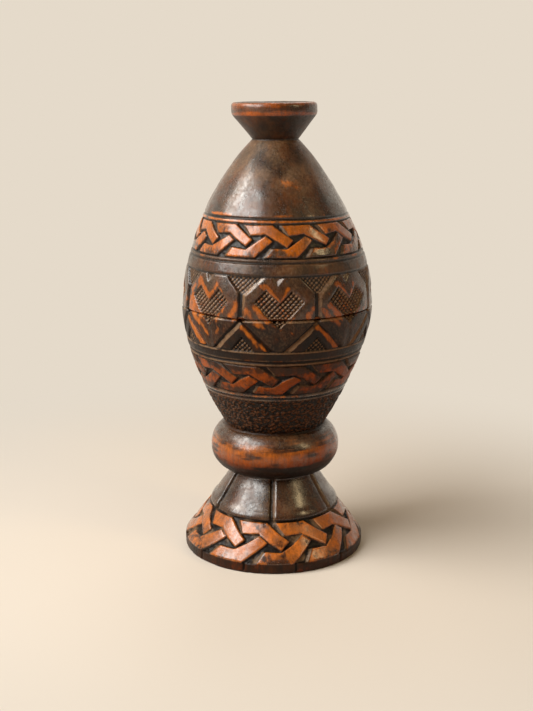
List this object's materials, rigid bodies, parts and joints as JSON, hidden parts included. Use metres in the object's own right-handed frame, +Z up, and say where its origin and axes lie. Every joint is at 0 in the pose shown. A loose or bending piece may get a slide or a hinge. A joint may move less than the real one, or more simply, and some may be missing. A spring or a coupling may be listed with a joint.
{
  "type": "carved wooden lidded box",
  "caption": "Egg-shaped carved wooden box on a collar and flared foot; the knobbed upper half lifts off as a lid.",
  "frame": {"origin": "centre of the underside of the foot, on the surface that the box stands on", "axes": "+Z up along the turning axis, -Y towards the front"},
  "size_m": [0.1234, 0.1234, 0.2899],
  "materials": {
    "base_wood": "dark stained hardwood, hand rubbed to a satin polish, orange-brown where the high edges are worn",
    "lid_wood": "dark stained hardwood, hand rubbed to a satin polish, orange-brown where the high edges are worn"
  },
  "bodies": {
    "base": {"base": "base_wood"},
    "lid": {"lid": "lid_wood"}
  },
  "joints": [
    {"name": "lid_lift", "type": "slide", "parent": "base", "child": "lid", "axis": [0, 0, 1], "range_m": [0, 0.15]}
  ]
}
